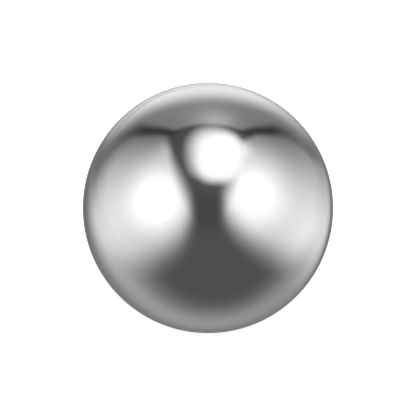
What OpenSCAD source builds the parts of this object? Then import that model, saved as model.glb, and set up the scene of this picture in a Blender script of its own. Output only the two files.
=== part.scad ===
// Solid polished steel ball, a single piece.
// The origin is the centre of the ball, with +Z up.

/* [Ball] */
// Diameter of the ball, a one inch stock size
ball_d = 25.4; // [3:0.1:100]

/* [Hidden] */
// Sides that draw the round outline in a preview
preview_sides = 180;

// The ball itself: one solid sphere with no bore, flat or seam.
module ball() {
    color("silver")
        sphere(d = ball_d, $fn = preview_sides);
}

ball();
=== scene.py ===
"""A polished steel ball on a plain pale floor, in a soft white studio.

Lengths are in metres in the part's own frame: +Z is up, and the camera looks along +Y and down.
The steel is a mirror, so most of its look is the studio around it. The world shader draws that
studio as a few soft panels.
"""

import itertools
import math
from typing import NamedTuple

import bpy
import numpy as np
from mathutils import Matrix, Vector


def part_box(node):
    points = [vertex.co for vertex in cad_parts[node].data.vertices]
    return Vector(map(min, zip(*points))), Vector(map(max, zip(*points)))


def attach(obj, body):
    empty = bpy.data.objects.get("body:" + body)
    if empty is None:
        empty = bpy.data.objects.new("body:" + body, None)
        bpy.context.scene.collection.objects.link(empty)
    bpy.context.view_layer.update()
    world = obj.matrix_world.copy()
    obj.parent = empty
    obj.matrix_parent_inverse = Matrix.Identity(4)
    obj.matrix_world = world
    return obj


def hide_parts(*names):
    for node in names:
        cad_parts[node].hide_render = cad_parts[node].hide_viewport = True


WHITE = (1, 1, 1, 1)

# Camera
CAMERA_ELEVATION = math.radians(40)
LENS_MM = 100
SENSOR_MM = 36
BALL_SHARE = 0.602  # of the picture's width that the ball fills
CLIP_START = 0.1  # ball radii

# Ball mesh
CELLS = 104  # along each edge of the cube that is rounded into the ball
ISLAND_MARGIN = 0.01  # kept clear round each of the six UV islands

# Floor
FLOOR_REACH = 60  # ball radii from the centre to the floor's edge
FLOOR_GLOW = 0.66  # light that the floor keeps in the ball's shadow
FLOOR_COLOR = (0.78, 0.78, 0.78, 1)

# Steel
STEEL_DULL = (0.585, 0.583, 0.588, 1)  # colour where the clouds are thinnest
STEEL_BRIGHT = (0.612, 0.61, 0.617, 1)  # colour where they are thickest
STEEL_ROUGHNESS = 0.04
CLOUD_ROUGHNESS = 0.03  # added where the clouds are thickest
MARK_ROUGHNESS = 0.02  # added by the finest polishing marks
CLOUD_SCALE = 0.9  # clouds to a ball radius
MARK_SCALE = 60  # marks to a ball radius
NOISE_DETAIL = 3

# The studio. A direction is an azimuth, 0 toward the camera and growing to its right, and an
# elevation above the horizon, both in degrees. A place on the ceiling is how far it is to the right
# or to the back of the ball, as a share of the ceiling's height. The steel mirrors about 0.6 of the
# light, so a light of 1 / 0.6 or more looks white in it. Two values in brackets are where a smooth
# change starts and ends.
TINY = 0.001  # a share below this counts as level, which keeps divisions off zero


class Glow(NamedTuple):
    """Light that is strongest in one direction and fades softly around it."""

    azimuth: float
    elevation: float
    width: float  # degrees
    strength: float


class Patch(NamedTuple):
    """A round patch of even light."""

    azimuth: float
    elevation: float
    full: float  # degrees from the middle out to where the patch starts to fade
    end: float  # degrees from the middle to where it is gone
    light: float


class Wall(NamedTuple):
    """A big white panel with a round outline, cut off by the ceiling and beside the camera."""

    side: int  # -1 is left and 1 is right
    azimuth: float
    elevation: float
    reach: float  # degrees from the middle to the outline
    soft: float  # degrees that the outline fades over, to each side
    front: float  # azimuth of the edge beside the camera
    front_soft: float
    top: float  # place on the ceiling of the top edge, to the side
    top_slope: float  # how much further out the top edge is toward the back
    top_soft: float
    top_cut: float  # how much further out its back end is again
    glows: tuple  # the light on the panel, added up


LEFT_WALL = Wall(
    side=-1,
    azimuth=-75,
    elevation=25,
    reach=55,
    soft=15,
    front=15,
    front_soft=10,
    top=0.55,
    top_slope=0.15,
    top_soft=0.1,
    top_cut=0,
    glows=(Glow(-55, 35, 35, 2.0), Glow(-95, -20, 45, 1.2), Glow(-110, 60, 10, 0.3)),
)
RIGHT_WALL = Wall(
    side=1,
    azimuth=100,
    elevation=35,
    reach=68,
    soft=15,
    front=15,
    front_soft=10,
    top=0.45,
    top_slope=0.1,
    top_soft=0.1,
    top_cut=0.2,
    glows=(Glow(55, 40, 40, 1.9), Glow(95, -25, 40, 1.3), Glow(110, 62, 8, 0.6)),
)
TOP_CUT_BEND = (0.25, 0.6)  # place on the ceiling, to the back, where the cut comes in
TOP_FRONT_SOFT = 0.15  # how much softer a top edge gets toward the camera
TOP_FRONT_BEND = (0.2, -0.8)  # place on the ceiling where it gets softer

# The dim room in front of the ball, and the tint that only it has
ROOM = 0.125  # light near the horizon
ROOM_HIGH = 0.09  # light overhead
ROOM_BEND = (5, 40)  # elevation over which it goes from one to the other
ROOM_TINT = (1.05, 1.0, 1.03, 1)
TINT_LIGHT_BEND = (0.1, 0.4)  # light over which the tint fades out
TINT_BACK_BEND = (-0.2, 0.3)  # how far to the back it fades out

# The floor, with a bright streak below each wall and a dim patch below each back corner
FLOOR_LIGHT = 0.65  # light beside the ball
FLOOR_BEHIND = 0.25  # light behind the ball
FLOOR_TOP_BEND = (-15, -25)  # elevation over which the room turns into the floor
FLOOR_FRONT_BEND = (-0.25, 0.75)  # how far toward the camera it fades into the room
FLOOR_BACK_BEND = (-0.25, 0.5)  # how far to the back it fades to the light behind the ball
FLOOR_LEAN = 0.15  # how much sooner it fades into the room on the right
LEFT_STREAK = Glow(-107, -20, 20, 0.8)
RIGHT_STREAK = Glow(120, -28, 19, 1.0)
LEFT_SHADE = Patch(-150, -35, 0, 20, 0.2)
RIGHT_SHADE = Patch(155, -40, 0, 20, 0.2)

# The back wall, which sweeps forward at its foot like a paper backdrop
BACK_SIDE = 0.3  # light by its corners
BACK_MIDDLE = 0.4  # light in its middle
BACK_REACH = 45  # degrees from a corner to the middle
BACK_TOP = 0.58  # place on the ceiling of its top edge
BACK_TOP_SOFT = 0.08
BACK_FOOT_BEND = (-60, -45)  # elevation where the sweep comes in
BACK_LIGHT = Patch(-178, -5, 10, 40, 1.2)  # a light on it from low down
BACK_LIGHT_BEND = (-40, 0)  # elevation over which that light comes in
BACK_HIGH_LIGHT = Glow(170, 55, 12, 0.3)  # a faint light near its top, to the right
SEAM = -10  # elevation of a thin shadow across the low light
SEAM_WIDTH = 6  # degrees from its middle to its edge
SEAM_SIDE_BEND = (0.2, -0.3)  # how far to the right it comes in, toward the left
SEAM_SHADOW = 0.3  # share of the low light that it takes

# The room's back corners, which are alike on both sides, and the dark gap in each
CORNER_HIGH = 135  # azimuth near the ceiling
CORNER_MIDDLE = 138  # azimuth about the horizon
CORNER_LOW = 155  # azimuth near the floor
CORNER_UPPER_BEND = (35, 15)  # elevation over which a corner goes from high to middle
CORNER_LOWER_BEND = (-5, -30)  # elevation over which it goes from middle to low
CORNER_SOFT = 1  # degrees that the back wall's edge fades over, to each side
GAP_WIDTH = 9  # degrees from the middle of a gap to its edge
GAP_TOP = 0.5  # place on the ceiling of its top end
GAP_HIGH = 0.06  # light in it near the ceiling
GAP_LOW = 0.25  # light in it lower down
GAP_BEND = (30, -5)  # elevation over which it goes from one to the other

# The lamp in the ceiling
LAMP = 1.75  # light
LAMP_RIGHT = 0.16  # place on the ceiling of its middle
LAMP_BACK = -0.03
LAMP_WIDE = 0.38  # half its size across
LAMP_DEEP = 0.46  # half its size from front to back
LAMP_SQUARE = 2.5  # 2 is an ellipse, and more is squarer
LAMP_CRISP = 0.3  # softness of its right edge
LAMP_SOFT = 0.5  # softness of its back left edge
LAMP_LEAN = 0.6  # how much the soft edge is to the back as well as to the left
LAMP_SOFT_BEND = (-0.2, -1)  # place in the lamp, from its middle to its edge, where it gets soft
LAMP_SPILL = Glow(80, 80, 25, 0.2)  # light round it on the ceiling


class Value:
    """A number that a node tree works out for each ray, and that arithmetic can be done on."""

    def __init__(self, tree, socket):
        self.tree = tree
        self.socket = socket

    def math(self, operation, *others):
        """This value and the others, put through a Math node."""
        node = self.tree.nodes.new("ShaderNodeMath")
        node.operation = operation
        for value, slot in zip((self, *others), node.inputs):
            plug(value, slot)
        return Value(self.tree, node.outputs["Value"])

    def __add__(self, other):
        return self.math("ADD", other)

    __radd__ = __add__

    def __sub__(self, other):
        return self.math("SUBTRACT", other)

    def __rsub__(self, other):
        return -self + other

    def __mul__(self, other):
        return self.math("MULTIPLY", other)

    def __truediv__(self, other):
        return self.math("DIVIDE", other)

    def __neg__(self):
        return self * -1

    def __abs__(self):
        return self.math("ABSOLUTE")

    def __pow__(self, other):
        return self.math("POWER", other)

    def ramp(self, start, end, first=0, last=1):
        """The first value at start and the last at end, with a smooth slope in between."""
        node = self.tree.nodes.new("ShaderNodeMapRange")
        node.interpolation_type = "SMOOTHSTEP"
        plug(self, node.inputs["Value"])
        plug(start, node.inputs["From Min"])
        plug(end, node.inputs["From Max"])
        plug(first, node.inputs["To Min"])
        plug(last, node.inputs["To Max"])
        return Value(self.tree, node.outputs["Result"])

    def toward(self, other, share):
        """This value where share is 0, and the other where it is 1."""
        node = self.tree.nodes.new("ShaderNodeMix")
        plug(share, node.inputs["Factor"])
        plug(self, node.inputs["A"])
        plug(other, node.inputs["B"])
        return Value(self.tree, node.outputs["Result"])


def plug(value, slot):
    """Links a Value to an input, or sets the input to a plain number."""
    if isinstance(value, Value):
        value.tree.links.new(value.socket, slot)
    else:
        slot.default_value = value


class Gaze:
    """The direction that a ray leaves in, and where it meets the ceiling."""

    def __init__(self, tree):
        coordinates = tree.nodes.new("ShaderNodeTexCoord")
        parts = tree.nodes.new("ShaderNodeSeparateXYZ")
        tree.links.new(coordinates.outputs["Generated"], parts.inputs["Vector"])
        self.right, self.back, self.up = (Value(tree, out) for out in parts.outputs)
        self.azimuth = self.right.math("ARCTAN2", -self.back).math("DEGREES")
        self.elevation = self.up.math("ARCSINE").math("DEGREES")
        self.above = self.up.math("GREATER_THAN", TINY)
        height = self.up.math("MAXIMUM", TINY)
        self.ceiling_right = self.right / height
        self.ceiling_back = self.back / height

    def degrees_from(self, spot):
        """Degrees between this direction and the middle of a glow, a patch or a wall."""
        azimuth = math.radians(spot.azimuth)
        elevation = math.radians(spot.elevation)
        along = self.right * (math.sin(azimuth) * math.cos(elevation))
        along = along - self.back * (math.cos(azimuth) * math.cos(elevation))
        along = along + self.up * math.sin(elevation)
        return along.math("MINIMUM", 1).math("ARCCOSINE").math("DEGREES")

    def glow(self, glow):
        """The light of a glow."""
        offset = self.degrees_from(glow) / glow.width
        return (-(offset * offset)).math("EXPONENT") * glow.strength

    def in_patch(self, patch):
        """1 in the middle of a patch and 0 outside it."""
        return self.degrees_from(patch).ramp(patch.end, patch.full)

    def past_ceiling_line(self, back, soft):
        """1 for what stands behind a line across the ceiling, and 0 in front of it."""
        past = self.ceiling_back.ramp(back - soft, back + soft)
        return past.math("MAXIMUM", 1 - self.above) * self.back.math("GREATER_THAN", TINY)


def room_and_floor(gaze):
    """The dim room, and the floor, which is lit beside the ball and dim in front of it and behind."""
    room = gaze.elevation.ramp(*ROOM_BEND, ROOM, ROOM_HIGH) + gaze.glow(LAMP_SPILL)
    to_front = gaze.right * FLOOR_LEAN - gaze.back
    floor = to_front.ramp(*FLOOR_FRONT_BEND, FLOOR_LIGHT, ROOM)
    floor = floor + gaze.back.ramp(*FLOOR_BACK_BEND, 0, FLOOR_BEHIND - FLOOR_LIGHT)
    light = room.toward(floor, gaze.elevation.ramp(*FLOOR_TOP_BEND))
    return light + gaze.glow(LEFT_STREAK) + gaze.glow(RIGHT_STREAK)


def side_wall(light, gaze, wall):
    """Adds a side wall, which hides what is behind it."""
    panel = sum(gaze.glow(glow) for glow in wall.glows)
    outline = gaze.degrees_from(wall).ramp(wall.reach + wall.soft, wall.reach - wall.soft)
    to_side = gaze.azimuth * wall.side
    front = to_side.ramp(wall.front - wall.front_soft, wall.front + wall.front_soft)
    out = gaze.ceiling_right * wall.side - gaze.ceiling_back * wall.top_slope
    out = out - gaze.ceiling_back.ramp(*TOP_CUT_BEND) * wall.top_cut
    soft = gaze.ceiling_back.ramp(*TOP_FRONT_BEND, 0, TOP_FRONT_SOFT) + wall.top_soft
    under_top = out.ramp(wall.top - soft, wall.top + soft).math("MAXIMUM", 1 - gaze.above)
    return light.toward(panel, outline * front * under_top)


def past_corner(gaze):
    """Degrees from the nearer back corner of the room, more than 0 on the back wall."""
    corner = gaze.elevation.ramp(*CORNER_UPPER_BEND, CORNER_HIGH, CORNER_MIDDLE)
    corner = corner + gaze.elevation.ramp(*CORNER_LOWER_BEND, 0, CORNER_LOW - CORNER_MIDDLE)
    return abs(gaze.azimuth) - corner


def back_wall(light, gaze):
    """Adds the grey wall behind the ball, lit from low down, and the dark gap at each corner."""
    corner = past_corner(gaze)
    wall = corner.ramp(0, BACK_REACH, BACK_SIDE, BACK_MIDDLE)
    seam = abs(gaze.elevation - SEAM).ramp(SEAM_WIDTH, 0) * gaze.right.ramp(*SEAM_SIDE_BEND)
    lit = gaze.in_patch(BACK_LIGHT) * gaze.elevation.ramp(*BACK_LIGHT_BEND) * (1 - seam * SEAM_SHADOW)
    wall = wall.toward(BACK_LIGHT.light, lit) + gaze.glow(BACK_HIGH_LIGHT)
    above_foot = gaze.elevation.ramp(*BACK_FOOT_BEND)
    on_wall = corner.ramp(-CORNER_SOFT, CORNER_SOFT) * gaze.past_ceiling_line(BACK_TOP, BACK_TOP_SOFT)
    light = light.toward(wall, above_foot * on_wall)
    in_gap = abs(corner).ramp(GAP_WIDTH, 0) * gaze.past_ceiling_line(GAP_TOP, BACK_TOP_SOFT)
    return light.toward(gaze.elevation.ramp(*GAP_BEND, GAP_HIGH, GAP_LOW), above_foot * in_gap)


def ceiling_lamp(light, gaze):
    """Adds a rounded white lamp overhead, with a crisp right edge and a softer back left one."""
    across = (gaze.ceiling_right - LAMP_RIGHT) / LAMP_WIDE
    along = (gaze.ceiling_back - LAMP_BACK) / LAMP_DEEP
    reach = (abs(across) ** LAMP_SQUARE + abs(along) ** LAMP_SQUARE) ** (1 / LAMP_SQUARE)
    softness = (across - along * LAMP_LEAN).ramp(*LAMP_SOFT_BEND, LAMP_CRISP, LAMP_SOFT)
    return light.toward(LAMP, reach.ramp(1 + softness, 1 - softness) * gaze.above)


def studio_radiance(gaze):
    """How bright the studio is in the direction of a ray."""
    light = room_and_floor(gaze)
    light = side_wall(light, gaze, LEFT_WALL)
    light = side_wall(light, gaze, RIGHT_WALL)
    light = back_wall(light, gaze)
    light = ceiling_lamp(light, gaze)
    for shade in (LEFT_SHADE, RIGHT_SHADE):
        light = light.toward(shade.light, gaze.in_patch(shade))
    return light


def studio_background(tree):
    """The studio's light, with the dim room's tint."""
    gaze = Gaze(tree)
    radiance = studio_radiance(gaze)
    tint = tree.nodes.new("ShaderNodeMix")
    tint.data_type = "RGBA"
    untinted = radiance.ramp(*TINT_LIGHT_BEND).math("MAXIMUM", gaze.back.ramp(*TINT_BACK_BEND))
    plug(untinted, tint.inputs["Factor"])
    tint.inputs["A"].default_value = ROOM_TINT
    tint.inputs["B"].default_value = WHITE
    background = tree.nodes.new("ShaderNodeBackground")
    tree.links.new(tint.outputs["Result"], background.inputs["Color"])
    plug(radiance, background.inputs["Strength"])
    return background


def build_world():
    """The studio for every ray but the camera's own, which see a plain white backdrop."""
    world = bpy.data.worlds.new("studio")
    world.use_nodes = True
    tree = world.node_tree
    tree.nodes.clear()
    studio = studio_background(tree)
    backdrop = tree.nodes.new("ShaderNodeBackground")
    backdrop.inputs["Color"].default_value = WHITE
    path = tree.nodes.new("ShaderNodeLightPath")
    chooser = tree.nodes.new("ShaderNodeMixShader")
    output = tree.nodes.new("ShaderNodeOutputWorld")
    tree.links.new(path.outputs["Is Camera Ray"], chooser.inputs["Fac"])
    tree.links.new(studio.outputs["Background"], chooser.inputs[1])
    tree.links.new(backdrop.outputs["Background"], chooser.inputs[2])
    tree.links.new(chooser.outputs["Shader"], output.inputs["Surface"])
    bpy.context.scene.world = world


def cube_sides():
    """For each side of a cube: the axis that it faces along, its sign, and its two edge axes."""
    for axis in range(3):
        first, second = (axis + 1) % 3, (axis + 2) % 3
        yield axis, 1, first, second
        yield axis, -1, second, first


def lattice_spot(side, across, along):
    """A corner of a cell on a side of the cube, in cells from the cube's lowest corner."""
    axis, sign, first, second = side
    spot = [0, 0, 0]
    spot[axis] = CELLS if sign > 0 else 0
    spot[first] = across
    spot[second] = along
    return tuple(spot)


def ball_mesh(name, centre, radius):
    """A cube whose sides are cut into cells and rounded into a ball, with one UV island a side."""
    points, faces, corners = {}, [], []
    for island, side in enumerate(cube_sides()):
        for row, column in itertools.product(range(CELLS), repeat=2):
            face = []
            for i, j in ((column, row), (column + 1, row), (column + 1, row + 1), (column, row + 1)):
                face.append(points.setdefault(lattice_spot(side, i, j), len(points)))
                corners.append(island_corner(island, i / CELLS, j / CELLS))
            faces.append(face)
    lattice = np.array(list(points), float) / CELLS * 2 - 1
    directions = np.tan(lattice * math.pi / 4)
    directions /= np.linalg.norm(directions, axis=1)[:, None]
    mesh = bpy.data.meshes.new(name)
    mesh.from_pydata(directions * radius + np.array(centre), [], faces)
    mesh.uv_layers.new(name="OFBake").data.foreach_set("uv", np.array(corners).ravel())
    mesh.shade_smooth()
    return mesh


def island_corner(island, across, along):
    """A point of a cube's side on its own UV island, in a grid of three by two."""
    column, row = island % 3, island // 3
    inner = 1 - 2 * ISLAND_MARGIN
    across = ISLAND_MARGIN + across * inner
    along = ISLAND_MARGIN + along * inner
    return (column + across) / 3, (row + along) / 2


def polished_steel(radius):
    """Mirror-polished steel with a faint cloudiness from handling and the finest of polishing marks."""
    material = bpy.data.materials.new("polished_steel")
    material.use_nodes = True
    tree = material.node_tree
    shader = tree.nodes["Principled BSDF"]
    shader.inputs["Metallic"].default_value = 1
    place = tree.nodes.new("ShaderNodeTexCoord").outputs["Object"]
    clouds = noise(tree, place, CLOUD_SCALE / radius)
    marks = noise(tree, place, MARK_SCALE / radius)
    tone = tree.nodes.new("ShaderNodeMix")
    tone.data_type = "RGBA"
    plug(clouds, tone.inputs["Factor"])
    tone.inputs["A"].default_value = STEEL_DULL
    tone.inputs["B"].default_value = STEEL_BRIGHT
    tree.links.new(tone.outputs["Result"], shader.inputs["Base Color"])
    roughness = clouds * CLOUD_ROUGHNESS + marks * MARK_ROUGHNESS + STEEL_ROUGHNESS
    plug(roughness, shader.inputs["Roughness"])
    return material


def noise(tree, place, scale):
    """Soft random clouds from 0 to 1."""
    node = tree.nodes.new("ShaderNodeTexNoise")
    tree.links.new(place, node.inputs["Vector"])
    node.inputs["Scale"].default_value = scale
    node.inputs["Detail"].default_value = NOISE_DETAIL
    return Value(tree, node.outputs["Fac"])


def add_object(name, data):
    """Puts new data into the scene as an object."""
    thing = bpy.data.objects.new(name, data)
    bpy.context.scene.collection.objects.link(thing)
    return thing


def build_ball(centre, radius):
    """The ball itself, which stands for the CAD solid."""
    ball = add_object("polished_ball", ball_mesh("polished_ball", centre, radius))
    ball.data.materials.append(polished_steel(radius))
    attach(ball, "root")
    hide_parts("ball")


def floor_material():
    """Near-white paper that holds some light of its own, so that shadows on it stay pale."""
    material = bpy.data.materials.new("pale_floor")
    material.use_nodes = True
    shader = material.node_tree.nodes["Principled BSDF"]
    shader.inputs["Base Color"].default_value = FLOOR_COLOR
    shader.inputs["Roughness"].default_value = 1
    shader.inputs["Specular IOR Level"].default_value = 0
    shader.inputs["Emission Color"].default_value = WHITE
    shader.inputs["Emission Strength"].default_value = FLOOR_GLOW
    return material


def build_floor(centre, radius):
    """A flat floor at the ball's lowest point. The ball mirrors the studio's own floor instead."""
    reach = FLOOR_REACH * radius
    level = centre.z - radius
    signs = ((-1, -1), (1, -1), (1, 1), (-1, 1))
    spots = [(centre.x + x * reach, centre.y + y * reach, level) for x, y in signs]
    mesh = bpy.data.meshes.new("floor")
    mesh.from_pydata(spots, [], [(0, 1, 2, 3)])
    mesh.materials.append(floor_material())
    floor = add_object("floor", mesh)
    floor.visible_glossy = False


def build_camera(centre, radius):
    """A camera aimed at the ball's centre, as far off as makes the ball fill its share of the picture."""
    data = bpy.data.cameras.new("camera")
    data.lens = LENS_MM
    data.sensor_width = SENSOR_MM
    data.clip_start = radius * CLIP_START
    half_angle = math.atan(BALL_SHARE * SENSOR_MM / 2 / LENS_MM)
    toward_camera = Vector((0, -math.cos(CAMERA_ELEVATION), math.sin(CAMERA_ELEVATION)))
    camera = add_object("camera", data)
    camera.location = centre + toward_camera * (radius / math.sin(half_angle))
    camera.rotation_euler = (-toward_camera).to_track_quat("-Z", "Y").to_euler()
    bpy.context.scene.camera = camera


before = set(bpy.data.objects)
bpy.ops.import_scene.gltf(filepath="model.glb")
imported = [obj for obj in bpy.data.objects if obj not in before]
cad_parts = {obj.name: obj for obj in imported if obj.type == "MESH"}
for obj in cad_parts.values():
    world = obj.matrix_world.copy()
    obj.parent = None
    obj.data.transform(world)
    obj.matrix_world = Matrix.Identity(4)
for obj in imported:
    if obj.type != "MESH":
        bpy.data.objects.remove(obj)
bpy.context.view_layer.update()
ball_low, ball_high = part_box("ball")
ball_centre = (ball_low + ball_high) / 2
ball_radius = (ball_high.z - ball_low.z) / 2

build_camera(ball_centre, ball_radius)
build_ball(ball_centre, ball_radius)
build_floor(ball_centre, ball_radius)
build_world()
bpy.context.scene.view_settings.view_transform = "Standard"
